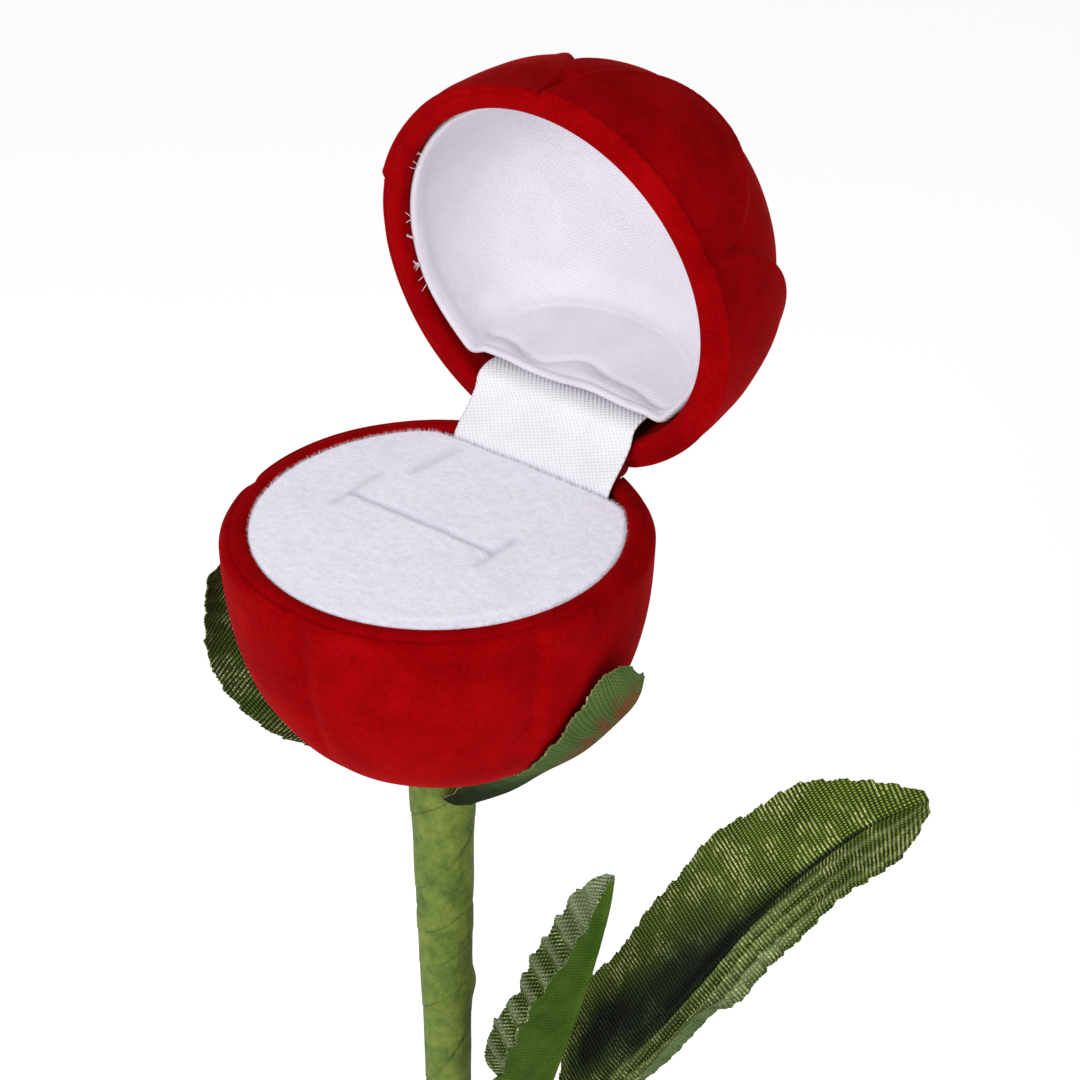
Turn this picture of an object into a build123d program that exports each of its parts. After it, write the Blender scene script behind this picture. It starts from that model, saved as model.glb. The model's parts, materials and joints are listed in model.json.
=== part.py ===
"""Rose-shaped ring gift box on a taped stem, lid open: a flocked bud in two hinged halves, a slit ring
pad, a satin-lined lid, two calyx leaves under the bud and a two-leaf spray bound to the stem.

Millimetres. The origin is the centre of the stem's foot, +Z runs up the stem, -Y is the front of the
box and +Y its hinge side. The lid stands open at rest.
"""
from build123d import *
import os
from math import cos, pi, sin

os.makedirs("parts", exist_ok=True)

# ---- driving dimensions ----------------------------------------------------------------------
RIM_Z = 230.0            # height of the parting plane over the stem's foot
BOWL_R = 24.95           # outer radius of the lower half at the parting plane
BOWL_DEPTH = 29.66       # parting plane to the bottom of the bowl
BOWL_SHAPE = (2.357, 3.204)    # superellipse powers of the bowl's outline: flatness below, roundness above
DOME_R = 24.6            # outer radius of the lid at the parting plane
DOME_DEPTH = 29.1        # parting plane to the top of the lid
DOME_SHAPE = (2.6, 1.75)
BOWL_INSIDE_SHAPE = (2.0, 2.6)
DOME_INSIDE_SHAPE = (2.0, 1.9)
DOME_STRAIGHT = 9.3      # how far the lid's inner wall goes straight up from its mouth
MOUTH_R = 21.9           # inside radius of both mouths
WALL = 2.4               # shell thickness at the two poles
OPEN_ANGLE = 83.0        # how far the lid stands open

HINGE_Y = 22.5           # hinge axis, in the flat back face of both halves
HINGE_LIFT = 0.3         # hinge axis over the parting plane
HINGE_WIDTH = 20.0       # knuckle row, end to end
KNUCKLES = 5             # three on the base leaf, two on the lid leaf
KNUCKLE_GAP = 0.1
KNUCKLE_R = 1.1
PIN_R = 0.5
PIN_CLEARANCE = 0.05     # running clearance of the lid's knuckles on the pin
LEAF_PLATE = 0.5         # thickness of the hinge plates
LEAF_PLATE_Y = 20.45     # middle of the upright hinge plates
LEAF_PLATE_REACH = 8.5   # how far the plates reach into each half
HINGE_ROOM = 0.2         # space round the hinge in the shells
PIN_FIT = 0.02           # clearance of the base's knuckles on the pin
POCKET_EXTRA = 2.0       # space past the ends of the hinge plates
POCKET_REACH = 6.0       # how far the plates' pocket goes in from the back wall

PAD_TOP = -1.0           # pad surface, from the parting plane
PAD_R = 21.5
PAD_CHORD_Y = 16.5       # straight rear edge of the pad
PAD_DEPTH = 8.8
PLUSH = 0.8              # thickness of the plush cover
PAD_EDGE = 0.7           # rounding of the pad's upper edge
PAD_CARD_CHORD_Y = 19.0  # straight rear edge of the card under the pad
SLIT = 0.6               # width of the cuts in the pad
LONG_SLIT = ((-1.1, -1.3), 20.5)       # middle and length of the cut across the pad
LEFT_SLIT = ((-12.0, 0.0), 10.0)       # the short cuts across its two ends
RIGHT_SLIT = ((9.5, -1.0), 8.0)
CARD = 1.4               # thickness of the card under the pad
LEDGE_R = 19.5           # inside radius of the shell below the pad's ledge

LINING_R = 21.25         # outer radius of the satin lining
LINING_CHORD_Y = 15.9    # straight edge of the lining, at the hinge side
LINING_START = 1.5       # mouth of the lining, from the parting plane
LINING_DEPTH = 12.0
LINING_CORNER = 6.0      # rounding where the straight edge meets the round one
LINING_EDGE = 4.0        # rounding round the bottom of the cup
SATIN = 0.4
LID_CARD = 0.45
CARD_GAP = 0.08

RIBBON_WIDTH = 23.4
RIBBON = 0.3             # thickness of the ribbon
RIBBON_ROUTE = ((16.95, -6.5), (16.95, -0.7), (21.2, 3.55), (22.35, 5.9), (28.5, 6.66))   # (y, over the rim)

STEM_R = 2.8             # taped stem below the leaf spray
STEM_TOP_R = 3.9         # taped stem right under the bowl
TAPE_FOOT_LENGTH = 100.0 # straight taped stem below the leaf spray
TUBE_R = 2.1
WIRE_R = 1.0
FIT_GAP = 0.05           # gap between the stem's nested layers
STEM_FLARE = ((2.95, 85.0), (3.05, 76.0), (3.55, 61.0), (3.7, 45.0))    # (radius, drop from the rim)
CAP = 1.0                # tape over the stem's cut foot
WIRE_IN_BOWL = 5.0       # how far the core wire goes up into the bowl
GLUE_R = 6.0
GLUE_HEIGHT = 2.3
GLUE_EDGE = 1.4
GLUE_GAP = 0.45          # between the glue and the bowl's inner wall

CALYX_THICKNESS = 0.5
CALYX_HALF_WIDTH = 7.0
CALYX_NECK = 3.2         # how far out from the stem's axis the blade begins
CALYX_NECK_HALF = 2.0
CALYX_SPINE = ((4.35, 38.8), (10.2, 34.3), (16.0, 29.0), (20.9, 23.7), (24.5, 18.3))    # (out, drop)
CALYX_END = (26.2, 12.4)
CALYX_TIP = (26.4, 8.4)
CALYX_TURNS = {"calyx_leaf_right": (-8.0, 2.0), "calyx_leaf_left": (190.0, 3.0)}    # (angle, stand-off)
SPRAY_NODE = Vector(8.7, 5.0, RIM_Z - 100.3)    # where the spray's two leaves part
STALK_R = 1.1
STALK_FOOT_Z = 104.0     # where the stalk's foot begins, alongside the stem
STALK_STRAIGHT = 15.0    # straight stretch of the stalk beside the stem
STALK_BEND_R = 8.0
STALK_GAP = 0.35         # between the stem and the stalk
BINDING_START = 2.0      # from the stalk's foot to the tape that binds it to the stem
BINDING_LENGTH = 10.0
BINDING_THICKNESS = 0.5
BINDING_GAP = 0.1
PETIOLE_R = 0.7
PETIOLE = 14.0           # from the fork to each blade
PETIOLE_END_GAP = 0.3
LARGE_PETIOLE_START = 1.3      # clear of the stalk's end
SMALL_PETIOLE_START = 3.5      # where the small leaf's petiole parts from the large one's

LEAF_THICKNESS = 0.5
BLADE_FILL = 0.9         # widest part of a blade, as a share of its folded halves
BLADE_WIDEST = 0.48      # where along the blade it is widest, as a share of its length
LARGE_TIP = Vector(50.4, 29.1, RIM_Z - 34.1)
LARGE_FACE = Vector(-0.51, -0.65, 0.56)
LARGE_HALF_WIDTH = 13.0
LARGE_FOLD = 15.0        # how far each half of the blade is folded up, in degrees
SMALL_TIP = Vector(24.5, 2.1, RIM_Z - 41.7)
SMALL_FACE = Vector(-0.96, 0.1, 0.26)
SMALL_HALF_WIDTH = 12.0
SMALL_FOLD = 55.0

# ---- frames ----------------------------------------------------------------------------------
HINGE_Z = RIM_Z + HINGE_LIFT
open_rad = OPEN_ANGLE * pi / 180
lid_up = Vector(0, sin(open_rad), cos(open_rad))
lid_back = Vector(0, cos(open_rad), -sin(open_rad))
hinge_point = Vector(0, HINGE_Y, HINGE_Z)
lid_centre = hinge_point - lid_back * HINGE_Y - lid_up * HINGE_LIFT

base_frame = Plane(origin=(0, 0, RIM_Z), x_dir=(1, 0, 0), z_dir=(0, 0, 1))
lid_frame = Plane(origin=lid_centre, x_dir=(1, 0, 0), z_dir=lid_up)


def offset_frame(frame, height):
    """The frame moved along its own up direction."""
    return Plane(origin=frame.origin + frame.z_dir * height, x_dir=frame.x_dir, z_dir=frame.z_dir)


def radial_frame(frame):
    """The plane through a frame's centre that holds its x and up directions."""
    return Plane(origin=frame.origin, x_dir=frame.x_dir, z_dir=-frame.y_dir)


def section_frame(frame, x=0.0):
    """The plane across the hinge, with the frame's y to the right and its up direction upwards."""
    return Plane(origin=frame.origin + frame.x_dir * x, x_dir=frame.y_dir, z_dir=frame.x_dir)


def bud_curve(radius, depth, flat, round_, steps=9):
    """Points of a superellipse from the rim to the pole: (radius out, distance from the rim)."""
    angles = [pi / 2 * k / steps for k in range(steps + 1)]
    return [(radius * cos(a) ** (2 / round_) if k < steps else 0.0, depth * sin(a) ** (2 / flat))
            for k, a in enumerate(angles)]


def outside_chord(chord_y, reach=60.0):
    """Centre and side of the square that covers everything behind a chord."""
    return (0, chord_y + reach / 2), reach


# ---- the two shells --------------------------------------------------------------------------
def bud_shell(frame, side, outer, inner, ledge):
    """Half a bud: revolved shell, flat back, ledge for its pad or card, and room for the hinge."""
    meridian = radial_frame(frame)
    axis = Axis(frame.origin, frame.z_dir)
    with BuildPart() as shell:
        with BuildSketch(meridian):
            with BuildLine():
                rim = Polyline((outer[0][0], 0), (inner[0][0], 0), (inner[0][0], side * inner[0][1]))
                if ledge:
                    shelf = Line(rim @ 1, (LEDGE_R, side * inner[0][1]))
                    start = shelf @ 1
                    hollow = [(LEDGE_R * r / inner[0][0], side * z) for r, z in inner]
                else:
                    start = rim @ 1
                    hollow = [(r, side * z) for r, z in inner]
                inside = Spline(start, *hollow[1:])
                Line(inside @ 1, (0, side * outer[-1][1]))
                Spline(*[(r, side * z) for r, z in reversed(outer)])
            make_face()
        revolve(axis=axis)
        centre, reach = outside_chord(HINGE_Y)
        with BuildSketch(offset_frame(frame, -reach / 2)):
            with Locations(centre):
                Rectangle(reach, reach)
        extrude(amount=reach, mode=Mode.SUBTRACT)
        pocket_y = LEAF_PLATE_Y + LEAF_PLATE / 2 + HINGE_ROOM
        pocket_depth = LEAF_PLATE_REACH + POCKET_EXTRA
        with BuildSketch(section_frame(frame, -HINGE_WIDTH / 2 - 2 * HINGE_ROOM)):
            with Locations((HINGE_Y, 0)):
                Rectangle(2 * (HINGE_Y - LEAF_PLATE_Y + LEAF_PLATE), 4 * KNUCKLE_R)
            with Locations((pocket_y - POCKET_REACH / 2, side * pocket_depth / 2)):
                Rectangle(POCKET_REACH, pocket_depth)
        extrude(amount=HINGE_WIDTH + 4 * HINGE_ROOM, mode=Mode.SUBTRACT)
    return shell.part


def lowered(points, start):
    """A bud curve squeezed so that it begins at a distance from the rim."""
    deepest = points[-1][1]
    return [(r, start + z * (deepest - start) / deepest) for r, z in points]


ledge_depth = PAD_DEPTH - PAD_TOP + CARD + CARD_GAP
bowl_outer = bud_curve(BOWL_R, BOWL_DEPTH, *BOWL_SHAPE)
bowl_inner = lowered(bud_curve(MOUTH_R, BOWL_DEPTH - WALL, *BOWL_INSIDE_SHAPE), ledge_depth)
dome_outer = bud_curve(DOME_R, DOME_DEPTH, *DOME_SHAPE)
dome_inner = lowered(bud_curve(MOUTH_R, DOME_DEPTH - WALL, *DOME_INSIDE_SHAPE), DOME_STRAIGHT)

with BuildPart() as base_shell:
    add(bud_shell(base_frame, -1, bowl_outer, bowl_inner, ledge=True))
    with Locations((0, 0, RIM_Z - BOWL_DEPTH)):
        Cylinder(WIRE_R + FIT_GAP, 3 * WALL, mode=Mode.SUBTRACT)
base_shell.part.label = "base_shell"

with BuildPart() as lid_shell:
    add(bud_shell(lid_frame, 1, dome_outer, dome_inner, ledge=False))
lid_shell.part.label = "lid_shell"


# ---- ring pad --------------------------------------------------------------------------------
def chord_disc(radius, chord_y):
    """A disc with its rear cut straight, on the sketch in hand."""
    centre, reach = outside_chord(chord_y)
    Circle(radius)
    with Locations(centre):
        Rectangle(reach, reach, mode=Mode.SUBTRACT)


def ring_slit():
    """The H-shaped cut that grips a ring: one long cut and a short one across each end."""
    middle, length = LONG_SLIT
    with Locations(middle):
        Rectangle(length, SLIT)
    for middle, length in (LEFT_SLIT, RIGHT_SLIT):
        with Locations(middle):
            Rectangle(SLIT, length)


pad_plane = offset_frame(base_frame, PAD_TOP)
foam_plane = offset_frame(base_frame, PAD_TOP - PLUSH - CARD_GAP)
card_plane = offset_frame(base_frame, PAD_TOP - PAD_DEPTH)

with BuildPart() as pad_cover:
    with BuildSketch(pad_plane):
        chord_disc(PAD_R, PAD_CHORD_Y)
    extrude(amount=-PAD_DEPTH)
    fillet(pad_cover.faces().sort_by(Axis.Z)[-1].edges(), PAD_EDGE)
    with BuildSketch(offset_frame(base_frame, PAD_TOP - PLUSH)):
        chord_disc(PAD_R - PLUSH, PAD_CHORD_Y - PLUSH)
    extrude(amount=-PAD_DEPTH, mode=Mode.SUBTRACT)
    with BuildSketch(pad_plane):
        ring_slit()
    extrude(amount=-PAD_DEPTH / 2, mode=Mode.SUBTRACT)
pad_cover.part.label = "pad_cover"

with BuildPart() as pad_foam:
    with BuildSketch(foam_plane):
        chord_disc(PAD_R - PLUSH - CARD_GAP, PAD_CHORD_Y - PLUSH - CARD_GAP)
    extrude(amount=-(PAD_DEPTH - PLUSH - 2 * CARD_GAP))
    with BuildSketch(foam_plane):
        ring_slit()
    extrude(amount=-(PAD_DEPTH - PLUSH) * 0.8, mode=Mode.SUBTRACT)
pad_foam.part.label = "pad_foam"

with BuildPart() as pad_card:
    with BuildSketch(card_plane):
        chord_disc(PAD_R, PAD_CARD_CHORD_Y)
    extrude(amount=-CARD)
pad_card.part.label = "pad_card"


# ---- lid lining ------------------------------------------------------------------------------
def rounded_block(plane, radius, chord_y, depth, corner, edge):
    """A chord disc drawn up from its plane, with its two corners and its far edge rounded."""
    with BuildPart() as block:
        with BuildSketch(plane) as outline:
            chord_disc(radius, chord_y)
            fillet(outline.vertices(), corner)
        extrude(amount=depth)
        fillet(block.faces().sort_by(Axis(plane.origin, plane.z_dir))[-1].edges(), edge)
    return block.part


def lining_cup(radius, chord_y, depth, skin, corner, edge):
    """A shallow cup with one straight side, open towards the parting plane."""
    mouth = offset_frame(lid_frame, LINING_START)
    solid = rounded_block(mouth, radius, chord_y, depth, corner, edge)
    hollow = rounded_block(mouth, radius - skin, chord_y - skin, depth - skin, corner - skin, edge - skin)
    return solid - hollow


with BuildPart() as lid_card:
    card_out = CARD_GAP + LID_CARD
    add(lining_cup(LINING_R + card_out, LINING_CHORD_Y + card_out, LINING_DEPTH + card_out, LID_CARD,
                   LINING_CORNER + card_out, LINING_EDGE + card_out))
lid_card.part.label = "lid_card"

with BuildPart() as lid_lining:
    add(lining_cup(LINING_R, LINING_CHORD_Y, LINING_DEPTH, SATIN, LINING_CORNER, LINING_EDGE))
lid_lining.part.label = "lid_lining"


# ---- hinge -----------------------------------------------------------------------------------
def knuckle_plane(frame, k):
    """Section plane at the start of knuckle k, seen along the hinge."""
    pitch = (HINGE_WIDTH + KNUCKLE_GAP) / KNUCKLES
    return section_frame(frame, -HINGE_WIDTH / 2 + k * pitch)


def hinge_leaf(frame, side, ours, bore):
    """A bent steel plate inside one half, with rolled knuckles on the hinge axis."""
    pitch = (HINGE_WIDTH + KNUCKLE_GAP) / KNUCKLES
    reach_z = HINGE_LIFT + side * (KNUCKLE_R - LEAF_PLATE / 2)
    with BuildPart() as leaf:
        with BuildSketch(section_frame(frame, -HINGE_WIDTH / 2)):
            with Locations((LEAF_PLATE_Y, reach_z + side * LEAF_PLATE_REACH / 2)):
                Rectangle(LEAF_PLATE, LEAF_PLATE_REACH + LEAF_PLATE)
        extrude(amount=HINGE_WIDTH)
        for k in ours:
            with BuildSketch(knuckle_plane(frame, k)):
                with Locations((HINGE_Y, HINGE_LIFT)):
                    Circle(KNUCKLE_R)
                with Locations(((LEAF_PLATE_Y + HINGE_Y) / 2, reach_z)):
                    Rectangle(HINGE_Y - LEAF_PLATE_Y, LEAF_PLATE)
            extrude(amount=pitch - KNUCKLE_GAP)
        with BuildSketch(section_frame(frame, -HINGE_WIDTH / 2)):
            with Locations((HINGE_Y, HINGE_LIFT)):
                Circle(bore)
        extrude(amount=HINGE_WIDTH, mode=Mode.SUBTRACT)
    return leaf.part


with BuildPart() as hinge_leaf_base:
    add(hinge_leaf(base_frame, -1, range(0, KNUCKLES, 2), PIN_R + PIN_FIT))
hinge_leaf_base.part.label = "hinge_leaf_base"

with BuildPart() as hinge_leaf_lid:
    add(hinge_leaf(lid_frame, 1, range(1, KNUCKLES, 2), PIN_R + PIN_CLEARANCE))
hinge_leaf_lid.part.label = "hinge_leaf_lid"

with BuildPart() as hinge_pin:
    with BuildSketch(section_frame(base_frame, -HINGE_WIDTH / 2)):
        with Locations((HINGE_Y, HINGE_LIFT)):
            Circle(PIN_R)
    extrude(amount=HINGE_WIDTH)
hinge_pin.part.label = "hinge_pin"


# ---- ribbon over the hinge -------------------------------------------------------------------
def both_sides(points, thickness):
    """The points moved half a thickness to the left and to the right of the line through them."""
    line = [Vector(*p) for p in points]
    left = []
    right = []
    for k, point in enumerate(line):
        before = (point - line[k - 1]).normalized() if k else (line[1] - point).normalized()
        after = (line[k + 1] - point).normalized() if k < len(line) - 1 else before
        normal = (before + after).normalized().rotate(Axis.Z, 90)
        stretch = thickness / 2 / abs(normal.dot(before.rotate(Axis.Z, 90)))
        left.append(point + normal * stretch)
        right.append(point - normal * stretch)
    return left, right


with BuildPart() as hinge_ribbon:
    with BuildSketch(section_frame(base_frame, -RIBBON_WIDTH / 2)):
        with BuildLine():
            above, below = both_sides(RIBBON_ROUTE, RIBBON)
            Polyline(*above, *reversed(below), above[0])
        make_face()
    extrude(amount=RIBBON_WIDTH)
hinge_ribbon.part.label = "hinge_ribbon"


# ---- stem ------------------------------------------------------------------------------------
bowl_bottom = RIM_Z - BOWL_DEPTH
stem_top = bowl_bottom - 4 * FIT_GAP

with BuildPart() as stem_wire:
    with BuildSketch(Plane.XY.offset(CAP)):
        Circle(WIRE_R)
    extrude(amount=bowl_bottom + WIRE_IN_BOWL - CAP)
stem_wire.part.label = "stem_wire"

with BuildPart() as stem_tube:
    with BuildSketch(Plane.XY.offset(CAP)):
        Circle(TUBE_R)
        Circle(WIRE_R + FIT_GAP, mode=Mode.SUBTRACT)
    extrude(amount=stem_top - FIT_GAP - CAP)
stem_tube.part.label = "stem_tube"

with BuildPart() as stem_tape:
    flare = [(radius, RIM_Z - drop) for radius, drop in STEM_FLARE]
    bore_r = TUBE_R + FIT_GAP
    bore_foot = CAP - FIT_GAP
    with BuildSketch(Plane.XZ):
        with BuildLine():
            foot = Polyline((0, 0), (STEM_R, 0), (STEM_R, TAPE_FOOT_LENGTH), flare[0])
            upper = Spline(foot @ 1, *flare[1:], (STEM_TOP_R, stem_top))
            Polyline(upper @ 1, (bore_r, stem_top), (bore_r, bore_foot), (0, bore_foot), (0, 0))
        make_face()
    revolve(axis=Axis.Z)
stem_tape.part.label = "stem_tape"

with BuildPart() as stem_glue:
    with BuildSketch(Plane.XY.offset(bowl_bottom + WALL + GLUE_GAP)):
        Circle(GLUE_R)
        Circle(WIRE_R + FIT_GAP / 5, mode=Mode.SUBTRACT)
    extrude(amount=GLUE_HEIGHT)
    fillet(stem_glue.faces().sort_by(Axis.Z)[-1].edges().sort_by(SortBy.LENGTH)[-1], GLUE_EDGE)
stem_glue.part.label = "stem_glue"


# ---- calyx leaves ----------------------------------------------------------------------------
def calyx_leaf(turn, lift):
    """A small curved leaf that starts at the stem and stands off the bowl's flank."""
    across = Plane.XZ.rotated((0, 0, turn))
    outwards = Plane(origin=(0, 0, RIM_Z), x_dir=across.z_dir, z_dir=(0, 0, 1))
    (end_out, end_drop), (tip_out, tip_drop) = CALYX_END, CALYX_TIP
    route = (*CALYX_SPINE, (end_out + lift / 2, end_drop), (tip_out + lift, tip_drop))
    spine = [(out, RIM_Z - drop) for out, drop in route]
    with BuildPart() as leaf:
        with BuildSketch(across):
            with BuildLine():
                inner, outer = both_sides(spine, CALYX_THICKNESS)
                Spline(*inner)
                Line(inner[-1], outer[-1])
                Spline(*reversed(outer))
                Line(outer[0], inner[0])
            make_face()
        extrude(amount=2 * CALYX_HALF_WIDTH, both=True)
        with BuildSketch(outwards.offset(-2 * BOWL_DEPTH)):
            with BuildLine():
                tip = (0, tip_out + lift)
                middle = (tip_out + lift + CALYX_NECK) / 2
                left = ThreePointArc((-CALYX_NECK_HALF, CALYX_NECK), (-CALYX_HALF_WIDTH, middle), tip)
                right = ThreePointArc(tip, (CALYX_HALF_WIDTH, middle), (CALYX_NECK_HALF, CALYX_NECK))
                Line(right @ 1, left @ 0)
            make_face()
        extrude(amount=3 * BOWL_DEPTH, mode=Mode.INTERSECT)
    return leaf.part


with BuildPart() as calyx_leaf_right:
    add(calyx_leaf(*CALYX_TURNS["calyx_leaf_right"]))
calyx_leaf_right.part.label = "calyx_leaf_right"

with BuildPart() as calyx_leaf_left:
    add(calyx_leaf(*CALYX_TURNS["calyx_leaf_left"]))
calyx_leaf_left.part.label = "calyx_leaf_left"


# ---- leaf spray ------------------------------------------------------------------------------
def leaf_blade(base, tip, normal, width, fold):
    """A thin leaf from base to tip, its halves folded up along the midrib by an angle."""
    rib = tip - base
    length = rib.length
    side = rib.cross(normal).normalized()
    foot = Plane(origin=base, x_dir=side, z_dir=rib.normalized())
    face = Plane(origin=base, x_dir=side, z_dir=side.cross(rib.normalized()))
    run = width * cos(fold * pi / 180)
    rise = width * sin(fold * pi / 180)
    with BuildPart() as blade:
        with BuildSketch(foot):
            with BuildLine():
                Polyline((0, 0), (run, -rise), (run, -rise - LEAF_THICKNESS), (0, -LEAF_THICKNESS),
                         (-run, -rise - LEAF_THICKNESS), (-run, -rise), (0, 0))
            make_face()
        extrude(amount=length)
        with BuildSketch(face.offset(-2 * width)):
            with BuildLine():
                half = run * BLADE_FILL
                ThreePointArc((0, 0), (half, length * BLADE_WIDEST), (0, length))
                ThreePointArc((0, length), (-half, length * BLADE_WIDEST), (0, 0))
            make_face()
        extrude(amount=4 * width, mode=Mode.INTERSECT)
    return blade.part


large_way = (LARGE_TIP - SPRAY_NODE).normalized()
small_way = (SMALL_TIP - SPRAY_NODE).normalized()

with BuildPart() as leaf_large:
    add(leaf_blade(SPRAY_NODE + large_way * PETIOLE, LARGE_TIP, LARGE_FACE, LARGE_HALF_WIDTH, LARGE_FOLD))
leaf_large.part.label = "leaf_large"

with BuildPart() as leaf_small:
    add(leaf_blade(SPRAY_NODE + small_way * PETIOLE, SMALL_TIP, SMALL_FACE, SMALL_HALF_WIDTH, SMALL_FOLD))
leaf_small.part.label = "leaf_small"


def petiole(way, start):
    """A straight run of taped wire from near the fork to just short of a blade."""
    with BuildPart() as wire:
        with BuildSketch(Plane(origin=SPRAY_NODE + way * start, z_dir=way)):
            Circle(PETIOLE_R)
        extrude(amount=PETIOLE - PETIOLE_END_GAP - start)
    return wire.part


stalk_side = Vector(SPRAY_NODE.X, SPRAY_NODE.Y, 0).normalized()
stalk_offset = STEM_R + STALK_R + STALK_GAP
stalk_foot = stalk_side * stalk_offset + Vector(0, 0, STALK_FOOT_Z)
stalk_bend = stalk_foot + Vector(0, 0, STALK_STRAIGHT)

with BuildPart() as spray_stalk:
    with BuildLine() as stalk_path:
        FilletPolyline(stalk_foot, stalk_bend, SPRAY_NODE, radius=STALK_BEND_R)
    with BuildSketch(Plane(origin=stalk_foot, z_dir=(0, 0, 1))):
        Circle(STALK_R)
    sweep(path=stalk_path.line)
spray_stalk.part.label = "spray_stalk"

with BuildPart() as petiole_large:
    add(petiole(large_way, LARGE_PETIOLE_START))
petiole_large.part.label = "petiole_large"

with BuildPart() as petiole_small:
    add(petiole(small_way, SMALL_PETIOLE_START))
petiole_small.part.label = "petiole_small"

# the tape that binds the stalk's foot to the stem
binding_plane = Plane(origin=(0, 0, STALK_FOOT_Z + BINDING_START), x_dir=stalk_side, z_dir=(0, 0, 1))


def binding_outline(extra):
    """The hull round the stem and the stalk, on the sketch in hand."""
    with BuildLine() as hull:
        CenterArc((0, 0), STEM_R + 2 * BINDING_GAP + extra, 0, 360)
        CenterArc((stalk_offset, 0), STALK_R + BINDING_GAP + extra, 0, 360)
    make_hull(hull.edges())


with BuildPart() as binding_tape:
    with BuildSketch(binding_plane):
        binding_outline(BINDING_THICKNESS)
    extrude(amount=BINDING_LENGTH)
    with BuildSketch(binding_plane):
        binding_outline(0)
    extrude(amount=BINDING_LENGTH, mode=Mode.SUBTRACT)
binding_tape.part.label = "binding_tape"

# ---- export ----------------------------------------------------------------------------------
pieces = (base_shell, pad_cover, pad_foam, pad_card, hinge_leaf_base, hinge_pin, hinge_ribbon, stem_wire,
          stem_tube, stem_tape, stem_glue, calyx_leaf_right, calyx_leaf_left, binding_tape, spray_stalk,
          petiole_large, petiole_small, leaf_large, leaf_small, lid_shell, lid_card, lid_lining,
          hinge_leaf_lid)
for piece in pieces:
    export_step(piece.part, f"parts/{piece.part.label}.step")
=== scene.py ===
"""The looks of the rose ring box: flocked bud halves with petals in relief, plush ring pad, satin-lined
lid, woven ribbon over the hinge, taped stem, and cloth leaves. Shapes are worked out in millimetres in
the CAD frame, and go into Blender in metres.
"""
import bpy
import json
import math
import numpy as np
from mathutils import Matrix, Vector


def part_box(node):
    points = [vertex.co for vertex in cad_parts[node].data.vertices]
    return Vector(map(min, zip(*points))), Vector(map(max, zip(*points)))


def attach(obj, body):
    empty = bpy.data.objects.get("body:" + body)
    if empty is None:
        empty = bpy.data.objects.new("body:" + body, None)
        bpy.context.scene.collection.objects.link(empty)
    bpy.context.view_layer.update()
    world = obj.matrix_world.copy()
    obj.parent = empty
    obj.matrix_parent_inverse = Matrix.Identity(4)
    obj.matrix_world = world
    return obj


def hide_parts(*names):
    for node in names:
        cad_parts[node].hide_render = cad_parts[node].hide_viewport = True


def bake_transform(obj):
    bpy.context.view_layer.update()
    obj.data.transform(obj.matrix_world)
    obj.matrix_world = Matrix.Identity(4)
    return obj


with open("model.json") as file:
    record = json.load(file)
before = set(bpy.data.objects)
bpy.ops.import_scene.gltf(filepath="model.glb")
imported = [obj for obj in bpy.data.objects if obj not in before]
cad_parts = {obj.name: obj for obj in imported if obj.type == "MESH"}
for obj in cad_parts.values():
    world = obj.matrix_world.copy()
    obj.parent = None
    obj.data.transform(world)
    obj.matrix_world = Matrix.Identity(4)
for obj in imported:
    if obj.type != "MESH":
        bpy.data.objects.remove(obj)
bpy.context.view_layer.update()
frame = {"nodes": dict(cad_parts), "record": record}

MM = 0.001
PI = math.pi
rng = np.random.default_rng(7)

# ---- places, from the frame ----
hinge = np.array(frame["record"]["behaviour"]["joints"][0]["pos_m"]) / MM
RIM_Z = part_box("base_shell")[1][2] / MM
OPEN = math.radians(83.0)        # how far the lid is open at rest
X = np.array([1.0, 0.0, 0.0])
LID_UP = np.array([0.0, math.sin(OPEN), math.cos(OPEN)])
LID_BACK = np.array([0.0, math.cos(OPEN), -math.sin(OPEN)])
LID_CENTRE = hinge - LID_BACK * hinge[1] - LID_UP * (hinge[2] - RIM_Z)

# Sizes in millimetres. The two halves: radius, depth, and the powers of their end's and side's curves.
BOWL = (24.95, 29.66, 2.357, 3.204)
DOME = (24.6, 29.1, 2.6, 1.75)
MOUTH_R = 21.9
PAD_TOP, PAD_R, PAD_CHORD = -1.0, 21.85, 16.5       # the pad's card edge, and its straight rear side
PAD_CREST = PAD_TOP + 0.75                          # where the plush stands at its edge
PAD_ROLL = 0.7                                      # how far that edge is rounded
FIBRE_R = 0.022                                     # a fibre of the plush, at its root
LINING_R, LINING_CHORD = 21.15, 16.1                # the lining's mouth, and its straight hinge side
LINING_START, LINING_DEPTH = 1.5, 16.5


def in_base(x, y, h):
    """Points given from the rim's centre, as rows of x, y and height."""
    return np.stack([x, y, RIM_Z + h], axis=-1)


def in_lid(x, y, h):
    """The same in the open lid, where h runs from the rim to the top of the dome."""
    x, y, h = (v[..., None] for v in np.broadcast_arrays(x, y, h))
    return LID_CENTRE + x * X + y * LID_BACK + h * LID_UP


# ---- small maths ----
def smooth(x, low, high):
    """Smoothstep from 0 at low to 1 at high."""
    t = np.clip((x - low) / (high - low), 0, 1)
    return t * t * (3 - 2 * t)


def bump(x, middle, width):
    return np.exp(-((x - middle) / width) ** 2)


def wrapped(degrees):
    return (degrees + 180.0) % 360.0 - 180.0


def soft_noise(u, v, seed, octaves=3):
    """A sum of sines over two coordinates, smooth, even and the same each run."""
    draw = np.random.default_rng(seed)
    total = 0.0
    for k in range(octaves * 4):
        angle = draw.uniform(0, 2 * PI)
        scale = 2.0 ** (k // 4)
        phase = draw.uniform(0, 2 * PI)
        total = total + np.sin(scale * (u * math.cos(angle) + v * math.sin(angle)) + phase) / scale
    return total / 4.0


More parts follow.
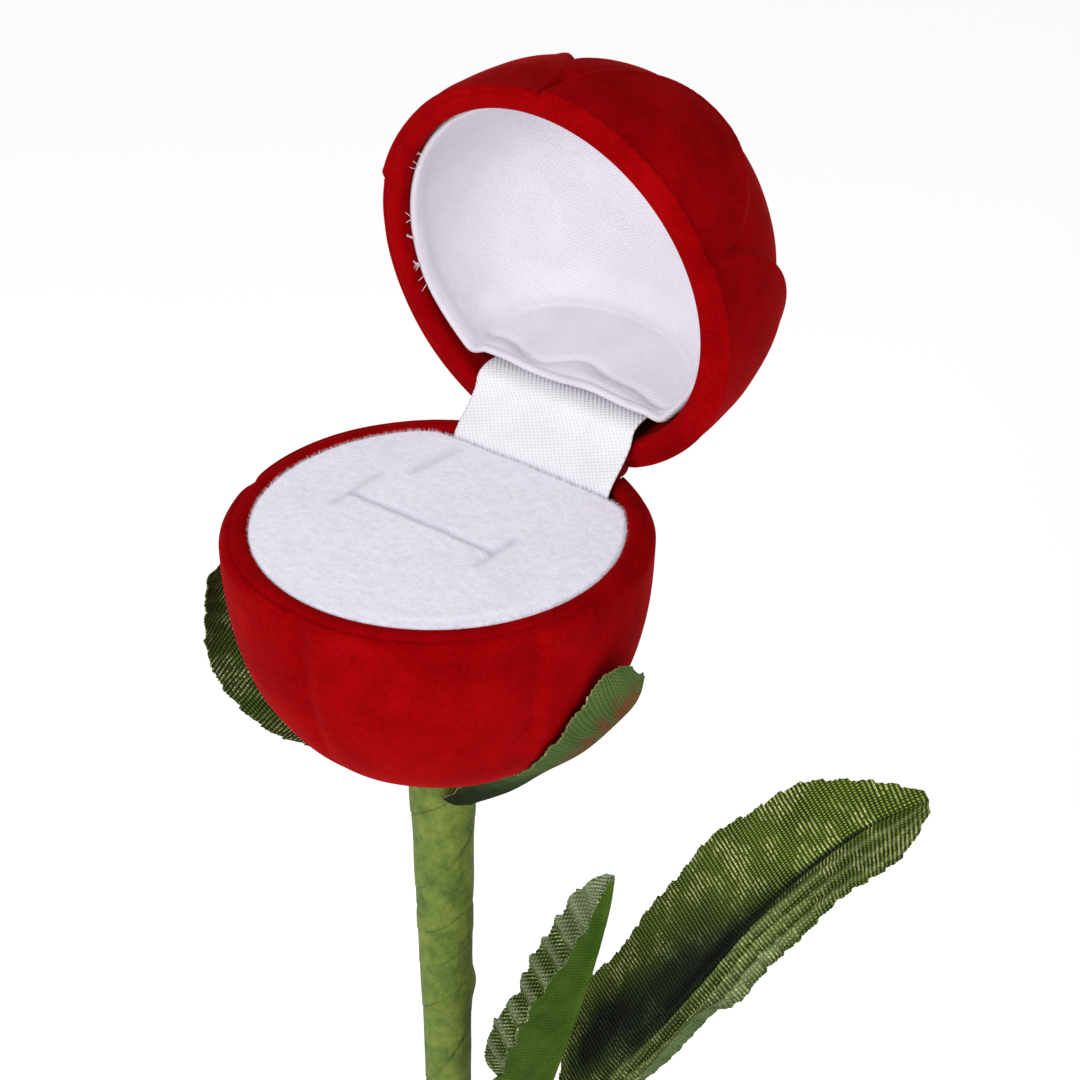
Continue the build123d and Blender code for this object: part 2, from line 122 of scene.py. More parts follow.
def through(points, count):
    """A smooth line of count points through a few given ones (Catmull-Rom)."""
    p = np.array(points, float)
    ends = np.concatenate([[2 * p[0] - p[1]], p, [2 * p[-1] - p[-2]]])
    at = np.linspace(0, len(p) - 1, count)
    i = np.minimum(at.astype(int), len(p) - 2)
    t = (at - i)[:, None]
    a, b, c, d = ends[i], ends[i + 1], ends[i + 2], ends[i + 3]
    cubic = 3 * b - a - 3 * c + d
    return 0.5 * (2 * b + (c - a) * t + (2 * a - 5 * b + 4 * c - d) * t ** 2 + cubic * t ** 3)


def unit(v):
    return v / np.linalg.norm(v, axis=-1, keepdims=True)


# ---- meshes ----
def new_object(name, data, materials=()):
    piece = bpy.data.objects.new(name, data)
    bpy.context.scene.collection.objects.link(piece)
    for material in materials:
        data.materials.append(material)
    return piece


def grid(name, points, materials, round_=False, maps=None, cap=False):
    """A surface through rows of points, in millimetres. round_ joins each row's ends, and cap closes the
    last row with a fan. maps gives each named UV layer's values at the points."""
    rows, columns = points.shape[:2]
    vertices = points.reshape(-1, 3) * MM
    r, c = np.meshgrid(np.arange(rows - 1), np.arange(columns if round_ else columns - 1), indexing="ij")
    right = (c + 1) % columns
    faces = np.stack([r * columns + c, r * columns + right, (r + 1) * columns + right,
                      (r + 1) * columns + c], axis=-1).reshape(-1, 4).tolist()
    vertices = vertices.tolist()
    if cap:
        vertices.append((points[-1].mean(axis=0) * MM).tolist())
        last = (rows - 1) * columns
        faces += [[last + k, last + (k + 1) % columns, len(vertices) - 1] for k in range(columns)]
    mesh = bpy.data.meshes.new(name)
    mesh.from_pydata(vertices, [], faces)
    corner = np.empty(len(mesh.loops), np.int32)
    mesh.loops.foreach_get("vertex_index", corner)
    for map_name, values in (maps or {}).items():
        flat = values.reshape(-1, 2)
        if cap:
            flat = np.concatenate([flat, flat[-1:]])
        mesh.uv_layers.new(name=map_name).data.foreach_set("uv", flat[corner].astype(np.float32).ravel())
    mesh.shade_smooth()
    return new_object(name, mesh, materials if isinstance(materials, list) else [materials])


def thicken(piece, amount):
    """Gives a cloth its thickness, half to each side, and applies it. A second material goes on the back."""
    modifier = piece.modifiers.new("thickness", "SOLIDIFY")
    modifier.thickness = amount * MM
    modifier.offset = 0.0
    modifier.material_offset = len(piece.data.materials) - 1
    depsgraph = bpy.context.evaluated_depsgraph_get()
    mesh = bpy.data.meshes.new_from_object(piece.evaluated_get(depsgraph))
    piece.modifiers.clear()
    piece.data = mesh


def tube(name, line, radius, material, sides=12):
    """A round tube along a line, with closed ends. radius may differ from point to point."""
    line = np.array(line, float)
    radius = np.broadcast_to(radius, len(line))
    along = unit(np.gradient(line, axis=0))
    helper = np.array([0.3, -0.5, 0.81])
    side = unit(np.cross(along, helper))
    other = np.cross(along, side)
    angle = np.linspace(0, 2 * PI, sides, endpoint=False)
    ring = (np.cos(angle)[None, :, None] * side[:, None] + np.sin(angle)[None, :, None] * other[:, None])
    rings = line[:, None] + ring * radius[:, None, None]
    first = line[:1, None] + ring[:1] * radius[0] * 0.02
    last = line[-1:, None] + ring[-1:] * radius[-1] * 0.02
    return grid(name, np.concatenate([first, rings, last]), material, round_=True, cap=True)


def joined(name, pieces):
    """Several objects made into one."""
    with bpy.context.temp_override(active_object=pieces[0], selected_editable_objects=pieces):
        bpy.ops.object.join()
    pieces[0].name = name
    return pieces[0]


# ---- materials ----
def material(name, rough=0.8, sheen=0.0, sheen_rough=0.5, sheen_tint=(1, 1, 1), specular=0.5, metal=0.0,
             subsurface=0.0):
    """A Principled material and its node tree."""
    made = bpy.data.materials.new(name)
    made.use_nodes = True
    values = {"Roughness": rough, "Metallic": metal, "Specular IOR Level": specular, "Sheen Weight": sheen,
              "Sheen Roughness": sheen_rough, "Sheen Tint": (*sheen_tint, 1)}
    if subsurface:
        values.update({"Subsurface Weight": subsurface, "Subsurface Radius": (0.002, 0.002, 0.002),
                       "Subsurface Scale": 0.5})
    feed(made.node_tree, made.node_tree.nodes["Principled BSDF"], values)
    return made, made.node_tree


def feed(tree, node, inputs):
    """Gives each named input of a node its value, or links it to another node's output."""
    for name, value in inputs.items():
        if isinstance(value, bpy.types.NodeSocket):
            tree.links.new(value, node.inputs[name])
        else:
            node.inputs[name].default_value = value


def add_node(tree, kind, inputs=(), **settings):
    made = tree.nodes.new(kind)
    for name, value in settings.items():
        setattr(made, name, value)
    feed(tree, made, dict(inputs))
    return made


def maths(tree, operation, a, b=0.5):
    return add_node(tree, "ShaderNodeMath", {0: a, 1: b}, operation=operation).outputs[0]


def times(tree, a, b):
    return maths(tree, "MULTIPLY", a, b)


def plus(tree, a, b):
    return maths(tree, "ADD", a, b)


def wave(tree, length, period, kind="SINE"):
    """A sine or cosine of a length on the cloth, its period in millimetres."""
    return maths(tree, kind, times(tree, length, 2 * PI / (period * MM)))


def axis(tree, where, k):
    """One coordinate of a position or a map."""
    return add_node(tree, "ShaderNodeSeparateXYZ", {"Vector": where}).outputs[k]


def position(tree, layer=None):
    """Where a point is: in the object's own frame, or on a UV layer."""
    if layer:
        return add_node(tree, "ShaderNodeUVMap", uv_map=layer).outputs["UV"]
    return add_node(tree, "ShaderNodeTexCoord").outputs["Object"]


def share(tree, value, low, high):
    """0 to 1 as a value goes from low to high, held at both ends."""
    made = add_node(tree, "ShaderNodeMapRange", {"Value": value, "From Min": low, "From Max": high})
    return made.outputs[0]


def patch(tree, where, centre, size):
    """1 in the middle of an ellipse of a map, falling smoothly to 0 at its edge."""
    width, height = size
    scaled = add_node(tree, "ShaderNodeMapping", {"Vector": where, "Scale": (1 / width, 1 / height, 0),
                                                  "Location": (-centre[0] / width, -centre[1] / height, 0)})
    length = add_node(tree, "ShaderNodeVectorMath", {0: scaled.outputs[0]}, operation="LENGTH")
    return share(tree, length.outputs["Value"], 1.0, 0.35)


def noise(tree, where, size, detail=3.0, rough=0.55):
    """Noise whose features are about size millimetres across."""
    settings = {"Vector": where, "Scale": 1 / (size * MM), "Detail": detail, "Roughness": rough}
    return add_node(tree, "ShaderNodeTexNoise", settings).outputs["Fac"]


def ramp(tree, factor, stops):
    """A colour ramp: stops are (place, colour)."""
    made = add_node(tree, "ShaderNodeValToRGB", {"Fac": factor})
    elements = made.color_ramp.elements
    while len(elements) < len(stops):
        elements.new(0.5)
    for element, (place, colour) in zip(elements, stops):
        element.position = place
        element.color = (*colour, 1)
    return made.outputs["Color"]


def mixed(tree, factor, a, b, blend="MIX"):
    a, b = (v if isinstance(v, bpy.types.NodeSocket) else (*v, 1) for v in (a, b))
    made = add_node(tree, "ShaderNodeMix", {0: factor, 6: a, 7: b}, data_type="RGBA", blend_type=blend)
    return made.outputs[2]


def darkened(tree, a, b):
    return mixed(tree, 1.0, a, b, "MULTIPLY")


def finished(made, colour, height, distance, strength=1.0):
    """Gives a material its colour and its relief, whose distance is in millimetres."""
    tree = made.node_tree
    relief = add_node(tree, "ShaderNodeBump", {"Height": height, "Distance": distance * MM,
                                               "Strength": strength})
    feed(tree, tree.nodes["Principled BSDF"], {"Base Color": colour, "Normal": relief.outputs["Normal"]})
    return made


def stripes(tree, where, angle, period):
    """Sine stripes from -1 to 1 across the flat cloth, at an angle, one each period of millimetres."""
    turn = math.radians(angle)
    return wave(tree, plus(tree, times(tree, axis(tree, where, 0), math.cos(turn)),
                           times(tree, axis(tree, where, 1), math.sin(turn))), period)


def velvet_material():
    """Short red flock: mottled where it was brushed, and speckled by its pile."""
    made, tree = material("red_velvet", rough=0.95, sheen=0.2, sheen_rough=0.3, specular=0.02,
                          sheen_tint=(1.0, 0.03, 0.03))
    where = position(tree)
    nap = noise(tree, where, 7.0, detail=4.0, rough=0.6)
    mottled = ramp(tree, nap, [(0.3, (0.225, 0.0, 0.001)), (0.52, (0.295, 0.0003, 0.0016)),
                               (0.75, (0.36, 0.001, 0.003))])
    pile = noise(tree, where, 0.35, detail=2.0)
    speckled = ramp(tree, pile, [(0.3, (0.72, 0.72, 0.72)), (0.7, (1.0, 1.0, 1.0))])
    height = plus(tree, times(tree, pile, 0.35), noise(tree, where, 2.2, detail=3.0))
    return finished(made, darkened(tree, mottled, speckled), height, 0.16, 0.8)


def plush_material():
    """White plush, darkened by painted shade over the H-shaped cut and the fold behind it, as a UV map gives.
    """
    made, tree = material("white_plush", rough=0.95, sheen=0.5, sheen_rough=0.6, specular=0.1,
                          subsurface=0.15)
    where = position(tree)
    tuft = noise(tree, where, 0.9, detail=5.0, rough=0.7)
    drift = noise(tree, where, 8.0, detail=2.0)
    base = ramp(tree, tuft, [(0.25, (0.72, 0.72, 0.82)), (0.55, (0.85, 0.84, 0.95)),
                             (0.8, (0.91, 0.91, 0.99))])
    shade = ramp(tree, drift, [(0.3, (0.96, 0.96, 0.97)), (0.7, (1.0, 1.0, 1.0))])
    plain = darkened(tree, base, shade)
    # painted shade over the cut and the fold, where the plush dips
    pressed = axis(tree, position(tree, "pressed"), 0)
    colour = mixed(tree, pressed, plain, darkened(tree, plain, (0.72, 0.72, 0.75)))
    return finished(made, colour, tuft, 0.3, 0.7)


def satin_material(name, colour, period, angle, rough, depth, contrast):
    """Woven satin or twill: fine diagonal ribs crossed by fainter ones, with soft variation."""
    made, tree = material(name, rough=rough, sheen=0.2, sheen_rough=0.4, specular=0.3)
    where = position(tree, "cloth")
    rib = stripes(tree, where, angle, period)
    cross = stripes(tree, where, angle + 76, period * 0.82)
    weave = plus(tree, rib, times(tree, cross, 0.6))
    drift = noise(tree, position(tree), 5.0, detail=3.0)
    light = ramp(tree, drift, [(0.3, tuple(0.93 * c for c in colour)), (0.7, colour)])
    shaded = ramp(tree, plus(tree, times(tree, weave, 0.31), 0.5),
                  [(0.0, (1 - contrast,) * 3), (0.6, (1.0, 1.0, 1.0))])
    return finished(made, darkened(tree, light, shaded), weave, depth)


def tape_material(name, seams=False):
    """Green crepe tape. On the wound tape, painted shade runs along the edge of each lap, and its frayed top
    is brown.
    """
    made, tree = material(name, rough=0.75, specular=0.3)
    where = position(tree)
    long_way = add_node(tree, "ShaderNodeMapping", {"Vector": where, "Scale": (1, 1, 0.6)}).outputs[0]
    crepe = noise(tree, long_way, 0.6, detail=4.0, rough=0.7)
    blotch = noise(tree, where, 3.2, detail=5.0, rough=0.65)
    colour = ramp(tree, blotch, [(0.3, (0.06, 0.105, 0.013)), (0.5, (0.125, 0.185, 0.022)),
                                 (0.7, (0.20, 0.26, 0.042))])
    grain = ramp(tree, crepe, [(0.25, (0.72, 0.72, 0.66)), (0.65, (1.0, 1.0, 1.0))])
    colour = darkened(tree, colour, grain)
    if seams:
        # painted shade along the lap edges, then the frayed top's own brown
        marks = position(tree, "seams")
        colour = mixed(tree, times(tree, axis(tree, marks, 0), 0.7), colour, (0.035, 0.045, 0.010))
        colour = mixed(tree, axis(tree, marks, 1), colour, (0.10, 0.028, 0.016))
    return finished(made, colour, crepe, 0.22, 0.9)


def leaf_front(name, threads, thin, through_light, shaded, pale, lit_share, slant, pleated=None, veined=None):
    """The printed upper side of a cloth leaf: thick threads across the blade, thin ones along it, and holes
    between them, whose light is painted: pale in patches for the light that comes through, and dark
    elsewhere. Some patches of the blade are darker with painted shade, and some paler. pleated gives the
    number of folds along one half and which half it is, 1 or -1: their crests get a painted highlight and
    their valleys painted shade. veined gives instead the spacing and the lean of folds that run out from
    the midrib, with a painted highlight on their crests."""
    made, tree = material(name, rough=0.7, specular=0.15)
    where, flat, zones = position(tree), position(tree, "cloth"), position(tree, "zones")
    along, across = axis(tree, flat, 0), axis(tree, flat, 1)
    off_rib = maths(tree, "ABSOLUTE", across)
    wobble = times(tree, noise(tree, where, 2.5, detail=2.0), 0.22 * MM)
    thick = wave(tree, plus(tree, plus(tree, along, times(tree, off_rib, slant)), wobble), 0.6)
    fine = wave(tree, plus(tree, across, wobble), 0.36)
    between = share(tree, thick, 0.1, -0.35)
    opening = share(tree, fine, 0.0, 0.5)
    drift = noise(tree, where, 6.0, detail=3.0)
    thread = ramp(tree, drift, [(0.3, threads[0]), (0.7, threads[1])])
    # painted light in the holes: pale where light comes through in patches, dark elsewhere
    lit_patch = share(tree, noise(tree, where, 3.6, detail=2.0), 0.62 - lit_share, 0.66 - lit_share / 2)
    lit_hole = share(tree, noise(tree, where, 0.5, detail=1.0), 0.38, 0.56)
    gap = mixed(tree, times(tree, lit_patch, lit_hole), (0.010, 0.026, 0.005), through_light)
    cloth = mixed(tree, between, thread, mixed(tree, opening, thin, gap))
    for centre, size in pale:
        faded = mixed(tree, 0.5, cloth, (0.30, 0.36, 0.22))
        cloth = mixed(tree, times(tree, patch(tree, zones, centre, size), 0.75), cloth, faded)
    # painted highlight on the fold crests and painted shade in their valleys
    if pleated:
        folds, half = pleated
        out = times(tree, axis(tree, zones, 1), half)
        begun = share(tree, out, 0.06, 0.14)
        fold = maths(tree, "COSINE", times(tree, out, 2 * PI * folds))
        crest = times(tree, share(tree, fold, -0.2, 0.9), begun)
        valley = maths(tree, "SUBTRACT", begun, crest)
        cloth = mixed(tree, times(tree, crest, 0.26), cloth, (0.27, 0.34, 0.15))
        cloth = mixed(tree, times(tree, valley, 0.34), cloth, (0.012, 0.022, 0.006))
    # painted highlight on the crests of the vein folds
    if veined:
        spacing, lean = veined
        vein = maths(tree, "SUBTRACT", along, times(tree, off_rib, lean))
        crest = share(tree, wave(tree, vein, spacing, "COSINE"), 0.1, 0.95)
        cloth = mixed(tree, times(tree, crest, 0.5), cloth, (0.24, 0.30, 0.17))
    # painted shade over each shaded patch
    for centre, size in shaded:
        dark = mixed(tree, patch(tree, zones, centre, size), (1.0, 1.0, 1.0), (0.07, 0.11, 0.12))
        cloth = darkened(tree, cloth, dark)
    return finished(made, cloth, plus(tree, thick, times(tree, fine, 0.4)), 0.10)


def leaf_back(name, low, high, edge, streak=None):
    """The duller underside: a close twill, a cut edge of its own colour, and for a calyx a brown streak on
    its fold and painted shade at its foot."""
    made, tree = material(name, rough=0.85, specular=0.08)
    flat, zones = position(tree, "cloth"), position(tree, "zones")
    weave = plus(tree, stripes(tree, flat, 28, 0.46), times(tree, stripes(tree, flat, 104, 0.40), 0.7))
    cloth = ramp(tree, noise(tree, position(tree), 5.0, detail=4.0), [(0.3, low), (0.7, high)])
    texture = ramp(tree, plus(tree, times(tree, weave, 0.3), 0.5),
                   [(0.0, (0.55, 0.6, 0.5)), (0.7, (1.0, 1.0, 1.0))])
    cloth = darkened(tree, cloth, texture)
    if streak:
        flecks = share(tree, noise(tree, flat, 1.6), 0.35, 0.6)
        cloth = mixed(tree, times(tree, patch(tree, zones, *streak), flecks), cloth, (0.15, 0.035, 0.018))
        # painted shade at the calyx's foot, by the stem
        shadow = patch(tree, zones, (0.0, 0.0), (0.5, 3.0))
        cloth = mixed(tree, shadow, cloth, darkened(tree, cloth, (0.16, 0.16, 0.11)))
    cut = share(tree, maths(tree, "ABSOLUTE", axis(tree, zones, 1)), 0.965, 0.985)
    return finished(made, mixed(tree, cut, cloth, edge), weave, 0.05)


def plain_material(name, low, high, size, rough, metal=0.0, depth=0.03, specular=0.5):
    """A finish with fine mottling: for painted hinge plates, card, foam, glue and wire."""
    made, tree = material(name, rough=rough, metal=metal, specular=specular)
    grain = noise(tree, position(tree), size, detail=4.0)
    return finished(made, ramp(tree, grain, [(0.3, low), (0.7, high)]), grain, depth, 0.5)


velvet = velvet_material()
plush = plush_material()
satin = satin_material("white_satin", (0.74, 0.70, 0.765), 0.36, 58, 0.45, 0.012, 0.07)
ribbon_cloth = satin_material("white_ribbon", (0.86, 0.85, 0.90), 0.5, 35, 0.5, 0.04, 0.13)
tape = tape_material("stem_tape")
wound_finish = tape_material("wound_tape_finish", seams=True)
GREEN_THREADS = ((0.010, 0.024, 0.003), (0.042, 0.072, 0.006))
# shaded lists patches of painted shade; pleated and veined put a painted highlight on fold crests, pleated
# also painted shade in the valleys
large_front = leaf_front(
    "large_leaf_front", GREEN_THREADS, (0.31, 0.40, 0.045), (0.84, 0.88, 0.40),
    shaded=[((0.33, 0.12), (0.34, 0.62)), ((0.52, -0.04), (0.30, 0.26)), ((0.16, 0.45), (0.2, 0.4)),
            ((0.78, 0.0), (0.22, 0.07))],
    pale=[((0.35, -0.85), (0.4, 0.3))], lit_share=0.15, slant=0.1, pleated=(3.5, -1))
small_front = leaf_front(
    "small_leaf_front", GREEN_THREADS, (0.20, 0.27, 0.06), (0.62, 0.68, 0.36), shaded=[],
    pale=[((0.95, 0.3), (0.3, 1.2))], lit_share=0.16, slant=0.5, veined=(5.6, 1.0))
dark_front = leaf_front(
    "calyx_front", ((0.012, 0.026, 0.004), (0.035, 0.06, 0.008)), (0.13, 0.18, 0.022),
    (0.62, 0.66, 0.38), shaded=[], pale=[], lit_share=0.2, slant=0.3)
green_back = leaf_back("leaf_back", (0.036, 0.088, 0.005), (0.07, 0.132, 0.012), (0.085, 0.12, 0.035))
pale_back = leaf_back("leaf_back_pale", (0.07, 0.105, 0.035), (0.14, 0.185, 0.075), (0.16, 0.15, 0.07))
calyx_back = leaf_back("calyx_back", (0.055, 0.105, 0.022), (0.085, 0.145, 0.038), (0.22, 0.16, 0.08),
                       streak=((0.68, -0.05), (0.4, 0.62)))
# Hidden hardware: the finish's name, its nodes, two colours, grain, roughness and other settings.
for name, nodes, low, high, size, rough, more in (
        ("hinge_steel", ("hinge_leaf_base", "hinge_leaf_lid", "hinge_pin"), (0.13, 0.001, 0.002),
         (0.20, 0.002, 0.004), 0.5, 0.9, {"specular": 0.05}),
        ("white_card", ("pad_card", "lid_card"), (0.68, 0.67, 0.63), (0.8, 0.79, 0.75), 0.8, 0.9, {}),
        ("pad_foam", ("pad_foam",), (0.6, 0.6, 0.56), (0.82, 0.82, 0.78), 0.6, 0.95, {"depth": 0.2}),
        ("hot_glue", ("stem_glue",), (0.6, 0.55, 0.4), (0.75, 0.7, 0.55), 3.0, 0.25, {}),
        ("core_wire", ("stem_wire",), (0.12, 0.12, 0.12), (0.25, 0.25, 0.24), 0.6, 0.45, {"metal": 1.0}),
        ("stem_plastic", ("stem_tube",), (0.03, 0.10, 0.02), (0.05, 0.14, 0.03), 2.0, 0.5, {})):
    finish = plain_material(name, low, high, size, rough, **more)
    for node in nodes:
        for slot in frame["nodes"][node].material_slots:
            slot.material = finish


# ---- the bud's two shells ----
HINGE_HALF = 10.35       # half the width of the gap for the hinge
HINGE_GAP = 2.2          # how far that gap goes down from the rim
BACK_Y = 22.45           # the flat back
WALL_Y = 20.75           # the inner face behind the hinge plates
SHOULDER = 1.3           # where the outer wall starts, from the rim
WALL_ROWS = 14           # rows of points on the inner wall, and about as many past the rim that the gap cuts
# The rim's section, with its rolled bead and the groove outside it: out from the mouth, and from the rim.
RIM_SECTION = [(0.0, 8.0), (0.0, 5.0), (0.0, 2.6), (-0.2, 1.4), (-0.12, 0.55), (0.35, 0.12), (0.85, 0.06),
               (1.3, 0.09), (1.72, 0.28), (2.02, 0.50), (2.32, 0.46), (2.62, 0.62), (2.86, 0.95)]
# The petals of each ring: middle and half width in degrees, and height.
OUTER_PETALS = [(-126, 38.5, 17.6), (-54, 33.5, 17.8), (26, 49.5, 17.4), (96, 21.5, 18.0), (155.5, 41, 17.8)]
INNER_PETALS = [(-35, 63, 18.4), (85, 63, 18.4), (205, 63, 18.4)]
TIP_PETALS = [(40, 92, 10.6), (220, 92, 10.6)]


def meridian(radius, depth, flat, round_, start, step):
    """The bud's outline from start to the pole, evenly spaced: radii, distances from the rim, and the
    outward normal's two parts."""
    a = np.linspace(0, PI / 2, 4000)
    r = radius * np.cos(a) ** (2 / round_)
    z = depth * np.sin(a) ** (2 / flat)
    along = np.concatenate([[0], np.cumsum(np.hypot(np.diff(r), np.diff(z)))])
    first = np.interp(start, z, along)
    at = np.linspace(first, along[-1] - 0.15, int((along[-1] - first) / step))
    r, z = np.interp(at, along, r), np.interp(at, along, z)
    dr, dz = np.gradient(r), np.gradient(z)
    size = np.hypot(dr, dz)
    return r, z, dz / size, -dr / size


def petal_edge(phi, h, r, centre, half, top):
    """How far each point lies inside a petal's edge, in millimetres, and how far round the petal it is:
    -1 at its left edge and 1 at its right one."""
    power = 2.4
    x = wrapped(phi - centre) / half
    inside = 1 - np.abs(x) ** power - (np.maximum(h, 0) / top) ** 2
    slope_phi = power * np.abs(x) ** (power - 1) / (half * PI / 180 * np.maximum(r, 2.0))
    slope_h = 2 * np.maximum(h, 0) / top ** 2
    return inside / np.maximum(np.hypot(slope_phi, slope_h), 0.02), np.clip(x, -1, 1)


def petal_layer(phi, h, r, petals, proud, tucked, soft, lip, flare=0.0):
    """The lift of one ring of petals, each given by its middle, half width and height: a petal is proud at
    its left edge and tucked in at its right, and its tip stands out by flare. Also how far each point is
    covered by the ring, 0 to 1."""
    best = np.zeros(np.broadcast(phi, h).shape)
    cover = best
    for centre, half, top in petals:
        inside, x = petal_edge(phi, h, r, centre, half, top)
        rise = tucked + (proud - tucked) * ((1 - x) / 2) ** 0.8
        rise = rise + flare * smooth(h / top, 0.5, 0.95) * (1 - x ** 2) * (1 - 0.6 * smooth(x, 0.2, 0.9))
        edge = smooth(inside, -soft, 1.3 * soft)
        rolled = lip * bump(inside, 1.3 * soft, 0.9 * soft) * (0.25 + 0.75 * (1 - x ** 2))
        best = np.maximum(best, edge * rise + rolled)
        cover = np.maximum(cover, edge)
    return best, cover


def lid_relief(phi, h, r):
    """The petals on the lid: five outer ones, three inner ones, and the bud's closed tip. The velvet is
    crumpled a little near the rim."""
    outer, cover = petal_layer(phi, h, r, OUTER_PETALS, 1.2, 0.7, 0.55, 0.24, flare=0.45)
    belly = sum(0.4 * bump(wrapped(phi - centre), 0, 0.55 * half) for centre, half, _ in OUTER_PETALS)
    belly = belly * smooth(h, -1, 9) * (1 - smooth(h, 13, 21))
    inner, _ = petal_layer(phi, h - 7, r, INNER_PETALS, 1.0, 0.05, 0.42, 0.06)
    inner = inner * smooth(h, 5, 9) * (1 - cover)
    tip, _ = petal_layer(phi + 9 * (h - 20), h - 18, r, TIP_PETALS, 0.5, 0.05, 0.4, 0.08)
    tip = tip * smooth(h, 22, 26)
    set_in = 0.75 + 0.5 * bump(wrapped(phi + 114), 0, 28) - 0.4 * bump(wrapped(phi - 5), 0, 50)
    crumple = 0.2 * soft_noise(phi / 7, h / 2.5, 37, 2) * (1 - smooth(h, 3, 8))
    return outer + inner + tip + belly + crumple - set_in


def base_relief(phi, h, r):
    """The lower part of the same petals, which fade towards the stem, with a soft crease beside each."""
    lower, _ = petal_layer(phi, np.zeros_like(h), r, OUTER_PETALS, 0.55, 0.2, 1.3, 0.0)
    belly = sum(0.4 * bump(wrapped(phi - centre), 0, 0.6 * half) for centre, half, _ in OUTER_PETALS)
    beside = [wrapped(phi - centre + half) * PI / 180 * r for centre, half, _ in OUTER_PETALS]
    crease = sum(bump(gap, 0, 1.5) for gap in beside)
    fade = 1 - smooth(h, 12, 27)
    return (lower + belly - 0.55) * fade - 0.4 * crease * fade


def shell_points(profile, relief, sign, place, seed):
    """Rows of points over one half: up its inner wall, over the rim and along the outside to the pole."""
    phi = np.linspace(-180, 180, 720, endpoint=False)
    turn = np.radians(phi)
    r, z, nr, nz = meridian(*profile, start=SHOULDER, step=0.3)
    phis, rs = np.meshgrid(phi, r)
    zs = np.repeat(z[:, None], len(phi), axis=1)
    lift = relief(phis, zs, rs)
    lift = lift + 0.06 * soft_noise(phis / 7, zs / 2.2, seed + 1, 2)
    outer_r = rs + lift * nr[:, None]
    outer_h = zs + lift * nz[:, None]
    rim = through(RIM_SECTION, 46)
    width = rim[-1, 0]
    groove = soft_noise(phi / 8, phi * 0, seed) * bump(rim[:, :1], 2.05, 0.3) * 0.14
    stretch = (outer_r[0] - MOUTH_R) / (profile[0] - MOUTH_R)
    rim_r = MOUTH_R + rim[:, :1] * (1 + (stretch - 1) * smooth(rim[:, :1], 1.2, width))
    rim_h = rim[:, 1:] + groove + 0 * phi
    all_r = np.concatenate([rim_r, outer_r])
    all_h = np.concatenate([rim_h, outer_h])
    row = np.arange(len(all_r))[:, None]
    x, y = all_r * np.cos(turn), all_r * np.sin(turn)
    middle = np.abs(x) < HINGE_HALF + 0.6
    inner_wall = row < WALL_ROWS
    y = np.where(middle & inner_wall, np.minimum(y, WALL_Y), y)
    y = np.minimum(y, BACK_Y + np.maximum(all_h - 6, 0) * 0.5)
    gap = (np.abs(x) < HINGE_HALF) & (y > 18) & (row < len(rim) + WALL_ROWS)
    height = np.where(gap, np.maximum(all_h, HINGE_GAP), all_h)
    return place(x, y, sign * height)


for half, points in (("base", shell_points(BOWL, base_relief, -1, in_base, 21)[:, ::-1]),
                     ("lid", shell_points(DOME, lid_relief, 1, in_lid, 31))):
    shell = grid(f"{half}_velvet", points, velvet, round_=True, cap=True)
    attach(shell, half)
    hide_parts(f"{half}_shell")


# ---- ring pad ----
def pad_outline(turn):
    """The pad's radius: a disc with a straight side at the back, its corners softened."""
    corner = 34
    straight = np.where(np.sin(turn) > 0, PAD_CHORD / np.maximum(np.sin(turn), 1e-3), 1e3)
    return (PAD_R ** -corner + straight ** -corner) ** (-1 / corner)


def slit_depth(x, y):
    """The H-shaped cut and the fold behind it: how deep the plush dips over them."""
    long_cut = bump(y, -1.3 + 0.06 * np.sin(x), 0.55) * smooth(x, -12.8, -11.6) * (1 - smooth(x, 8.8, 9.9))
    left_cut = bump(x, -12.2, 0.6) * smooth(y, -5.6, -3.8) * (1 - smooth(y, 4.2, 5.8))
    right_cut = bump(x, 9.5, 0.6) * smooth(y, -5.4, -4.2) * (1 - smooth(y, 2.2, 3.6))
    fold = bump((x + 9.1) - 0.1 * (y - 10), 0, 0.7) * smooth(y, 5.5, 7.5) * (1 - smooth(y, 14, 16))
    return 0.20 * long_cut + 0.13 * left_cut + 0.15 * right_cut + 0.13 * fold


def pad_top(x, y, edge_gap):
    """The plush's height over the rim's plane, by the distance in from its edge."""
    fallen = 1 - np.clip(edge_gap / PAD_ROLL, 0, 1)
    drop = PAD_ROLL * (1 - np.sqrt(np.clip(1 - fallen ** 2, 0, 1)))
    reach = np.hypot(x, y)
    crown = 0.35 * (1 - (reach / 22) ** 2)
    turn = np.degrees(np.arctan2(y, x))
    ridge = 0.16 * bump(edge_gap, 2.1, 0.7) * bump(wrapped(turn + 38), 0, 32)
    swell = 0.07 * soft_noise(x / 4, y / 4, 5, 2) + 0.035 * soft_noise(x * 1.4, y * 1.4, 6, 2)
    return PAD_CREST + crown + ridge + swell - drop - slit_depth(x, y)


